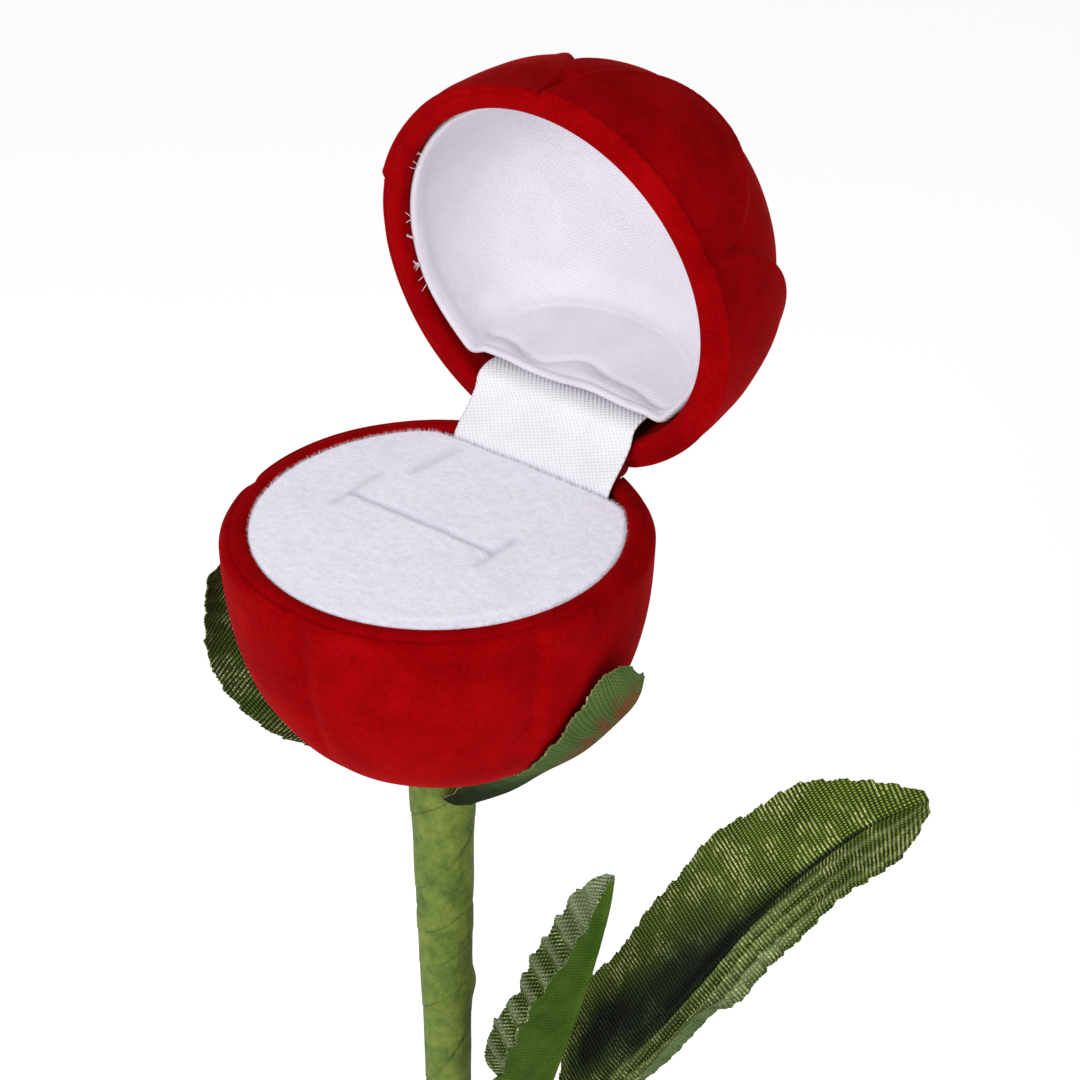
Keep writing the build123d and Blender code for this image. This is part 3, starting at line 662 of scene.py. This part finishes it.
def plush_pad():
    """The pad's cover: its side down into the bowl, its rounded edge and its crowned top."""
    turn = np.radians(np.linspace(-180, 180, 720, endpoint=False))
    edge = pad_outline(turn)
    share_in = np.concatenate([np.linspace(0.004, 0.94, 130), np.linspace(0.945, 1.0, 14)])
    reach = share_in[::-1, None] * edge
    x, y = reach * np.cos(turn), reach * np.sin(turn)
    top = pad_top(x, y, edge - reach)
    sides = [PAD_TOP - 8.6, PAD_TOP - 6, PAD_TOP - 3, PAD_TOP - 1.4]
    rows = [in_base(edge * np.cos(turn), edge * np.sin(turn), np.full_like(edge, h)) for h in sides]
    # a UV map of painted shade over the cut and the fold, 0 on the pad's side
    shade_in_slit = np.concatenate([np.zeros((len(sides), len(turn))), np.clip(slit_depth(x, y) / 0.2, 0, 1)])
    pressed = np.stack([shade_in_slit, 0 * shade_in_slit], axis=-1)
    points = np.concatenate([np.stack(rows), in_base(x, y, top)])
    return grid("ring_pad", points, plush, round_=True, cap=True, maps={"pressed": pressed})


def plush_fringe(count):
    """Pile that stands out round the pad's upper edge: fine tapered fibres, three-sided."""
    turn = rng.uniform(-PI, PI, count)
    edge = pad_outline(turn)
    gap = rng.uniform(0.0, 0.8, count) ** 1.5
    x, y = (edge - gap) * np.cos(turn), (edge - gap) * np.sin(turn)
    roots = in_base(x, y, pad_top(x, y, gap) - 0.1)
    outward = np.stack([np.cos(turn), np.sin(turn), np.zeros(count)], axis=1)
    ways = unit(outward + np.array([0, 0, 0.75]) + rng.normal(scale=0.45, size=(count, 3)))
    tips = roots + ways * rng.uniform(0.25, 0.7, count)[:, None]
    side = unit(np.cross(ways, unit(rng.normal(size=ways.shape))))
    other = np.cross(ways, side)
    thirds = (0, 2 * PI / 3, 4 * PI / 3)
    corners = [roots + FIBRE_R * (math.cos(a) * side + math.sin(a) * other) for a in thirds]
    vertices = np.stack([*corners, tips], axis=1).reshape(-1, 3) * MM
    first = np.arange(count)[:, None] * 4
    faces = np.concatenate([first + [0, 1, 3], first + [1, 2, 3], first + [2, 0, 3], first + [0, 2, 1]])
    mesh = bpy.data.meshes.new("pad_fringe")
    mesh.from_pydata(vertices.tolist(), [], faces.tolist())
    return new_object("pad_fringe", mesh, [fringe_pile])


ring_pad = plush_pad()
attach(ring_pad, "base")
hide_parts("pad_cover", "pad_foam")

fringe_pile = plain_material("plush_pile", (0.80, 0.80, 0.88), (0.92, 0.92, 0.98), 0.6, 0.8, depth=0.0,
                             specular=0.1)
fringe = plush_fringe(5200)
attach(fringe, "base")


# ---- lid lining ----
def soft_least(a, b, blend):
    """The lesser of two values, with the corner between them rounded."""
    h = np.clip(0.5 + 0.5 * (b - a) / blend, 0, 1)
    return b * (1 - h) + a * h - blend * h * (1 - h)


def satin_wall(x, h):
    """How far the slack satin of the hinge-side wall stands in: a puffy roll, and a crease beyond it."""
    roll_end = 4.0 + 0.9 * np.sin(x / 2.9 + 0.9) + 0.5 * np.sin(x / 1.5 + 2.0)
    roll = (1.15 + 0.3 * np.sin(x / 2.3)) * bump(h, roll_end * 0.45, roll_end * 0.45)
    crease = -0.45 * bump(h, roll_end + 0.3, 0.6)
    slack = 0.22 * soft_noise(x / 3.0, h / 2.2, 11, 2) * smooth(h, 2, 5)
    return roll + crease + slack


def lid_satin():
    """A dome of satin glued into the lid: rolled edge, curved floor and a flat wall at the hinge side."""
    turn = np.radians(np.linspace(-180, 180, 640, endpoint=False))
    a = np.linspace(0.06, PI / 2 - 0.01, 110)[:, None]
    reach = LINING_R * np.cos(a) ** (2 / 2.9)
    height = (LINING_DEPTH - 0.4) * np.sin(a) ** (2 / 2.3)
    x = reach * np.cos(turn)
    deep = reach * np.sin(turn)
    wall_y = LINING_CHORD - 0.35 - 0.2 * height
    past = deep - wall_y
    y = soft_least(deep, wall_y, 0.9)
    x = x * (1 - 0.05 * smooth(deep, 6, 16) * (1 - smooth(height, 2, 7)))
    on_wall = smooth(deep, wall_y - 1.0, wall_y + 1.6)
    y = y - satin_wall(x, height) * on_wall
    ripple = 0.12 * soft_noise(x / 5, deep / 5, 13, 2) * smooth(height, 1, 3)
    ripple = ripple - 0.9 * bump(past, -1.4, 1.4) * smooth(height, 2, 6)
    near_edge = 0.25 * bump(height, 1.6, 1.0) * (1 - on_wall) * (1 + 0.5 * soft_noise(turn * 4, turn * 0, 15))
    inward = 1 - near_edge / LINING_R
    inside = in_lid(x * inward, y * inward, LINING_START + height + ripple)
    edge_x, edge_y = x[0], y[0]
    normal = unit(np.stack([np.gradient(edge_y), -np.gradient(edge_x)], axis=1))
    rolls = [(0.8, 2.4), (0.86, 0.9), (0.78, 0.05), (0.52, -0.5), (0.2, -0.62), (-0.12, -0.35), (-0.2, 0.05)]
    first_h = LINING_START + height[0, 0]
    rows = [in_lid(edge_x + out * normal[:, 0], edge_y + out * normal[:, 1], first_h - 0.35 + up + 0 * turn)
            for out, up in rolls]
    points = np.concatenate([np.stack(rows), inside])
    steps = np.hypot(np.diff(reach[:, 0]), np.diff(height[:, 0]))
    from_pole = np.concatenate([steps[::-1].cumsum()[::-1], [0.0]])
    beyond = from_pole[0] + 0.6 * np.arange(len(rolls), 0, -1)
    spread = np.concatenate([beyond, from_pole])[:, None]
    return points, np.stack([spread * np.cos(turn), spread * np.sin(turn)], axis=-1)


satin_points, satin_flat = lid_satin()
lining = grid("satin_lining", satin_points, satin, round_=True, maps={"cloth": satin_flat * MM}, cap=True)
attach(lining, "lid")
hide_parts("lid_lining", "lid_card")


def loose_threads():
    """Cut ends of the lining that stick out over the rim at its left side."""
    tufts = [(210, 2, 2.2), (205, 2, 1.3), (183, 2, 3.0), (177, 3, 1.9), (166, 5, 2.6), (161, 2, 1.6)]
    pieces = []
    for degrees, count, length in tufts:
        for _ in range(count):
            turn = math.radians(degrees + rng.uniform(-1.6, 1.6))
            out = np.array([math.cos(turn), math.sin(turn), 0.0])
            round_ = np.array([-math.sin(turn), math.cos(turn), 0.0])
            lean = rng.uniform(-1.3, 1.3)
            reach = length * rng.uniform(0.6, 1.15)
            steps = np.linspace(0, 1, 14)[:, None]
            line = out * (LINING_R + 0.1) + [0, 0, LINING_START + 0.2]
            over_rim = [0, 0, -1] * (0.9 * np.sin(2.2 * steps))
            line = line + steps * reach * (0.85 * out + lean * round_) + over_rim
            line = line + steps ** 2 * reach * 0.4 * rng.uniform(-1, 1) * round_
            radius = 0.038 * (1 - 0.6 * steps[:, 0])
            pieces.append(tube(f"thread_{len(pieces)}", in_lid(*line.T), radius, thread_finish, sides=6))
    return joined("lining_threads", pieces)


thread_finish = plain_material("frayed_thread", (0.80, 0.66, 0.72), (0.92, 0.86, 0.9), 0.4, 0.7)
threads = loose_threads()
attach(threads, "lid")


# ---- ribbon over the hinge ----
def hinge_strip():
    """The ribbon: glued in behind the pad, bowed a little over the hinge, and on into the lid."""
    section = through([(16.95, -5.5), (16.98, -3.2), (17.0, -1.0), (17.9, 0.6), (19.9, 2.6), (21.3, 4.3),
                       (22.0, 6.0), (23.8, 6.75), (27.2, 6.75)], 90)
    across = np.linspace(-11.7, 11.7, 70)
    step = np.concatenate([[0], np.cumsum(np.hypot(*np.diff(section, axis=0).T))])
    x, y = np.meshgrid(across, section[:, 0])
    h = np.repeat(section[:, 1][:, None], len(across), axis=1)
    free = bump(step, step[45], 5.0)[:, None]
    bow = free * (0.22 * np.cos(x / 11.7 * PI / 2) + 0.10 * soft_noise(x / 4, h / 3, 17, 2))
    flat = np.stack([x, np.repeat(step[:, None], len(across), 1)], axis=-1)
    return in_base(x, y + bow * 0.6, h - bow * 0.8), flat


ribbon_points, ribbon_flat = hinge_strip()
ribbon = grid("hinge_strip", ribbon_points, ribbon_cloth, maps={"cloth": ribbon_flat * MM})
thicken(ribbon, 0.22)
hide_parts("hinge_ribbon")
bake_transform(ribbon)


# ---- stem ----
# The tape's radius at heights up the stem.
STEM_SECTION = [(2.8, 0.0), (2.8, 60.0), (2.8, 120.0), (2.85, RIM_Z - 92), (2.95, RIM_Z - 80),
                (3.3, RIM_Z - 66), (3.6, RIM_Z - 52), (3.85, RIM_Z - 42), (4.3, RIM_Z - 33),
                (3.9, RIM_Z - 29.9)]
TAPE_PITCH = 7.6         # from one lap of the tape to the next


def wound_tape():
    """Crepe tape wound up the stem: each turn laps over the one below, with its edge standing proud."""
    up = np.concatenate([[0.0, 0.0], np.linspace(0.0, RIM_Z - 29.9, 900)])
    given = np.array(STEM_SECTION)
    radius = np.interp(up, given[:, 1], given[:, 0])
    turn = np.linspace(0, 2 * PI, 96, endpoint=False)
    phis, zs = np.meshgrid(turn, up)
    lap = (zs / TAPE_PITCH - phis / PI + 0.3 * np.sin(zs / 5.3) + 0.2 * np.sin(zs / 17)) % 1.0
    proud = 0.18 * smooth(lap, 0.0, 0.05) + 0.08 * (1 - lap)
    crease = 0.08 * soft_noise(np.cos(phis) * 2 + 5, np.sin(phis) * 2 + zs / 2.6, 41, 3)
    crease = crease - 0.22 * bump(zs, RIM_Z - 57 + 0.5 * np.sin(phis), 0.5)
    bulge = 0.55 * bump(zs, RIM_Z - 70, 2.2) * bump(wrapped(np.degrees(phis) - 38), 0, 35)
    r = radius[:, None] + proud + crease + bulge - 0.08
    r[0] = 0.05
    points = np.stack([r * np.cos(phis), r * np.sin(phis), zs], axis=-1)
    # where painted shade runs along each lap's edge
    lap_shade = bump((lap + 0.5) % 1.0, 0.5, 0.018) * (0.6 + 0.4 * np.sin(zs / 2.9 + phis))
    frayed = smooth(zs + 0.5 * soft_noise(phis * 4, zs, 43, 2), RIM_Z - 32.3, RIM_Z - 31.6)
    return grid("wound_tape", points, wound_finish, round_=True, maps={"seams": np.stack([lap_shade, frayed], -1)})


wound = wound_tape()
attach(wound, "base")
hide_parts("stem_tape")


# ---- leaves ----
TOOTH = 3.1              # length of one tooth of a leaf's edge
LEAF_THICKNESS = 0.2


def margin_lines(line, face, folds, widths):
    """The two edges of a blade from its midrib: each half is folded up from flat by its own angle, and its
    width is given at even steps from base to tip."""
    along = unit(np.gradient(line, axis=0))
    up = unit(face - along * (along @ face)[:, None])
    side = np.cross(up, along)
    place = np.linspace(0, 1, len(line))
    edges = []
    for sign, fold, half in zip((1, -1), folds, widths):
        steps = np.array([[k, w, 0.0] for k, w in enumerate(half)])
        smooth_width = through(steps, len(line))
        width = np.interp(place, smooth_width[:, 0] / (len(half) - 1), smooth_width[:, 1])
        angle = math.radians(fold)
        way = sign * math.cos(angle) * side + math.sin(angle) * up
        edges.append(line + np.maximum(width, 0.3)[:, None] * way)
    return edges


def blade(line, edges, seed, pleat=(0.1, 0.1), fan=(0, 0), tooth=(0.5, 0.5), lobe=TOOTH, veins=(3.2, 0.75),
          groove=0.4, arch=0.0, rolled=None):
    """Points of a press-formed cloth leaf between its midrib and its two edges, with its flat cloth and zone
    maps. Each half has pleats of its own height: with fan, that many folds run along the blade, and without
    it they run out from the midrib, as veins says by their spacing and lean. tooth is how deep each edge's
    teeth are, and lobe how long. rolled gives, for the second half, where its edge rolls over and how
    tightly."""
    rows = len(line)
    along = unit(np.gradient(line, axis=0))
    length = np.concatenate([[0], np.cumsum(np.linalg.norm(np.diff(line, axis=0), axis=1))])
    t = (length / length[-1])[:, None]
    halves = []
    for sign, edge, height, folds, deep in zip((1, -1), edges, pleat, fan, tooth):
        draw = np.random.default_rng(seed + sign)
        across = edge - line
        reach = np.linalg.norm(across, axis=1)
        way = across / reach[:, None]
        normal = unit(sign * np.cross(along, way))
        saw = (length / lobe + 0.35 * np.sin(length / 7 + seed) + (0.5 if sign > 0 else 0)) % 1.0
        ragged = 0.13 * draw.uniform(-1, 1, rows) + 0.2 * np.sin(length / 2.3 + draw.uniform(0, 6))
        fit = np.clip((reach - 0.3) / 3.0, 0, 1)
        reach = reach + fit * (deep * (saw ** 0.7 - 0.5) + ragged)
        w = np.linspace(0, 1, 46)[None, :]
        distance = w * reach[:, None]
        vein = (length[:, None] - veins[1] * distance) / veins[0]
        reach_in = smooth(distance, 0.8, 4.5)
        if folds:
            vein = folds * w + 0.12 * np.sin(length / 6)[:, None]
            reach_in = smooth(distance, 0.4, 1.6) * (1 - smooth(t, 0.6, 0.92))
        ridges = height * (np.abs((vein % 1.0) * 2 - 1) - 0.5) * 2 * reach_in
        valley = -groove * bump(distance, 0, 0.55)
        ripple = 0.3 * soft_noise(length[:, None] / 6, distance / 4, seed + 5, 2) * w ** 1.5
        rise = ridges + valley + ripple + arch * 4 * w * (1 - w)
        flat_out = distance
        if rolled and sign < 0:
            start, tight = rolled(t)
            past = np.maximum(distance - start * reach[:, None], 0)
            bend = np.maximum(tight, 1e-3)
            flat_out = distance - past + np.sin(bend * past) / bend
            rise = rise + (1 - np.cos(bend * past)) / bend
        half = line[:, None] + flat_out[..., None] * way[:, None] + rise[..., None] * normal[:, None]
        cloth = np.stack([length[:, None] + 0 * distance, sign * distance], axis=-1)
        zones = np.stack([t + 0 * distance, sign * w + 0 * distance], axis=-1)
        halves.append((half, cloth * MM, zones))
    return [np.concatenate([left[:, ::-1], right[:, 1:]], axis=1) for left, right in zip(*halves)]


def make_leaf(name, node, finishes, flat_size, area, line, edges, **shape):
    """A leaf as a sheet, in place of its CAD node. finishes are its upper side's and underside's."""
    points, cloth, zones = blade(line, edges, **shape)
    piece = grid(name, points, finishes, maps={"cloth": cloth, "zones": zones})
    thicken(piece, LEAF_THICKNESS)
    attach(piece, "base")
    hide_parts(node)


def route(points, count):
    """A smooth line of count points through a few given ones, whose heights are from the rim."""
    return through([(x, y, RIM_Z + z) for x, y, z in points], count)


def large_roll(t):
    """The large leaf's near edge rolls over in its lower half."""
    return 0.72, 1.25 * smooth(t, 0.1, 0.2) * (1 - smooth(t, 0.42, 0.52))


large_rib = route([(14.0, 8.0, -91.5), (21.6, 12.3, -77.8), (33.5, 19.3, -55.1), (43.5, 25.2, -40.5),
                   (50.8, 29.6, -34.0)], 320)
large_edges = margin_lines(large_rib, np.array([-0.401, -0.749, 0.526]), (9, 10.5), (
    (3.0, 9.5, 11.6, 11.5, 12.2, 12.4, 11.1, 9.4, 6.4, 3.6, 1.0),
    (2.5, 6.0, 7.2, 8.2, 8.6, 8.2, 7.9, 7.6, 7.4, 6.2, 2.0)))
make_leaf("large_leaf", "leaf_large", [large_front, pale_back], (0.072, 0.022), 0.00125, large_rib,
          large_edges, seed=3, pleat=(0.05, 0.62), fan=(0, 3.5), rolled=large_roll)

small_rib = route([(11.5, 4.4, -91.0), (15.3, 2.7, -80.7), (20.5, 2.6, -62.0), (23.6, 2.3, -48.0),
                   (24.5, 2.1, -41.8)], 260)
small_edges = margin_lines(small_rib, np.array([-0.752, -0.634, 0.182]), (55, 55), (
    (3.0, 9.0, 10.2, 9.8, 8.6, 7.8, 6.8, 5.2, 3.8, 2.8, 1.0),
    (3.0, 8.0, 9.2, 10.3, 10.2, 8.6, 6.0, 3.3, 2.0, 1.2, 0.6)))
make_leaf("small_leaf", "leaf_small", [small_front, green_back], (0.052, 0.019), 0.00076, small_rib,
          small_edges, seed=8, pleat=(0.5, 0.12), tooth=(0.55, 1.5), lobe=5.6, veins=(5.6, 1.0))

right_rib = route([(4.0, 0.2, -39.3), (10.0, 0.5, -34.6), (15.1, 0.8, -29.4), (20.3, 1.1, -24.3),
                   (24.6, 1.3, -18.6), (27.6, 1.3, -13.8), (28.5, 1.0, -9.6)], 220)
right_edges = [
    route([(4.0, 1.5, -39.0), (9.8, 5.5, -31.6), (14.5, 8.4, -27.0), (19.0, 10.2, -22.0),
           (22.8, 9.0, -16.8), (25.4, 5.2, -14.6), (28.0, 1.7, -10.8)], 220),
    route([(3.2, -3.8, -36.8), (7.6, -4.6, -31.6), (12.8, -5.2, -28.0), (17.9, -6.0, -23.9),
           (22.3, -6.4, -17.6), (25.6, -2.5, -9.6), (27.6, 0.5, -8.7)], 220)]
make_leaf("calyx_right", "calyx_leaf_right", [dark_front, calyx_back], (0.042, 0.018), 0.00056, right_rib,
          right_edges, seed=14, groove=0.15, arch=-0.35, tooth=(0.6, 0.6), lobe=4.0)

left_rib = route([(-4.0, -0.5, -39.2), (-10.2, -1.4, -35.4), (-16.0, -2.2, -31.4), (-21.4, -3.2, -26.8),
                  (-25.4, -4.2, -21.8), (-27.2, -6.0, -16.4), (-26.8, -9.6, -12.6)], 220)
left_edges = [
    route([(-4.0, -1.8, -39.0), (-13.6, -6.6, -35.6), (-19.0, -9.6, -33.4), (-24.2, -11.6, -29.6),
           (-26.3, -12.5, -23.6), (-26.4, -12.6, -17.0), (-25.9, -11.9, -12.4)], 220),
    route([(-4.0, 1.2, -39.0), (-10.0, 4.4, -33.4), (-15.4, 6.6, -29.0), (-20.6, 7.8, -24.4),
           (-25.4, 6.4, -19.0), (-27.8, 1.5, -15.0), (-27.3, -6.5, -12.4)], 220)]
make_leaf("calyx_left", "calyx_leaf_left", [dark_front, dark_front], (0.042, 0.022), 0.00062, left_rib,
          left_edges, seed=19, pleat=(0.12, 0.12), groove=0.15, arch=-0.4, tooth=(0.35, 0.35))

# ---- stalk of the spray ----
# Each: piece, CAD node, radius, route and how many points along it.
for name, node, radius, points, count in (
        ("stalk", "spray_stalk", 1.1,
         [(3.2, 1.85, -126.0), (3.2, 1.85, -112.0), (4.3, 2.5, -107.0), (8.7, 5.0, -100.3)], 60),
        ("petiole_l", "petiole_large", 0.75,
         [(8.3, 4.8, -100.9), (11.0, 6.3, -96.5), (14.2, 8.1, -91.3), (17.5, 10.0, -86.2)], 40),
        ("petiole_s", "petiole_small", 0.7,
         [(8.3, 4.8, -100.9), (10.0, 4.7, -96.0), (11.6, 4.3, -91.0), (13.5, 3.5, -86.0)], 40)):
    twig = tube(name, route(points, count), radius, tape)
    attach(twig, "base")
    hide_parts(node)


def binding():
    """A few turns of tape round the stem and the stalk's foot."""
    low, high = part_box("binding_tape")
    up = np.linspace(low[2] / MM, high[2] / MM, 40)
    turn = np.linspace(0, 2 * PI, 72, endpoint=False)
    lean = math.atan2(1.85, 3.2)
    phis, zs = np.meshgrid(turn, up)
    towards = np.cos(phis - lean)
    r = 3.35 + 2.0 * np.maximum(towards, 0) ** 3 + 0.15 * ((zs / 4.5 - phis / (2 * PI)) % 1.0)
    r = r - 0.5 * (1 - smooth(np.minimum(zs - zs[0, 0], zs[-1, 0] - zs), 0, 1.2))
    return grid("binding", np.stack([r * np.cos(phis), r * np.sin(phis), zs], axis=-1), tape, round_=True)


bound = binding()
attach(bound, "base")
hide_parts("binding_tape")


# ---- floor, lights and camera ----
def studio():
    """A pale floor, a white room, a key light from the front and a weaker one from the right."""
    floor_mesh = bpy.data.meshes.new("floor")
    half = 4.0
    floor_mesh.from_pydata([(-half, -half, 0), (half, -half, 0), (half, half, 0), (-half, half, 0)], [],
                           [(0, 1, 2, 3)])
    floor_finish, tree = material("pale_floor", rough=0.9, specular=0.1)
    feed(tree, tree.nodes["Principled BSDF"], {"Base Color": (0.9, 0.9, 0.9, 1), "Emission Strength": 0.42,
                                               "Emission Color": (1.0, 1.0, 1.0, 1)})
    new_object("floor", floor_mesh, [floor_finish])
    world = bpy.data.worlds.new("studio")
    world.use_nodes = True
    background = world.node_tree.nodes["Background"]
    feed(world.node_tree, background, {"Color": (1.0, 1.0, 1.0, 1), "Strength": 0.55})
    bpy.context.scene.world = world
    aim = np.array([0.0, 0.0, RIM_Z])
    lamps = (("key", (30.0, -510.0, 510.0), 260, 2.2), ("fill", (480.0, -220.0, 320.0), 400, 0.55))
    for name, place, size, power in lamps:
        light = bpy.data.lights.new(name, "AREA")
        light.size = size * MM
        light.energy = power
        lamp = new_object(name, light)
        where = np.array(place) * MM
        lamp.location = where
        towards = aim * MM - where
        lamp.rotation_euler = Vector(towards).to_track_quat("-Z", "Y").to_euler()


def camera():
    """The photograph's viewing angle: from the front right, looking down at the pad."""
    right = np.array([0.7885, 0.6150, 0.0050])
    up = np.array([-0.3313, 0.4179, 0.8459])
    back = np.cross(right, up)
    place = np.array([162.23, -190.12, 154.80 + RIM_Z]) * MM
    lens = bpy.data.cameras.new("camera")
    lens.sensor_width = 36.0
    lens.lens = 85.07
    lens.clip_start = 0.01
    lens.clip_end = 20.0
    seen = new_object("camera", lens)
    columns = np.stack([unit(right), unit(up), unit(back), place], axis=1)
    seen.matrix_world = Matrix([list(row) for row in columns] + [[0, 0, 0, 1]])
    bpy.context.scene.camera = seen


studio()
camera()

bpy.context.scene.view_settings.view_transform = "Standard"
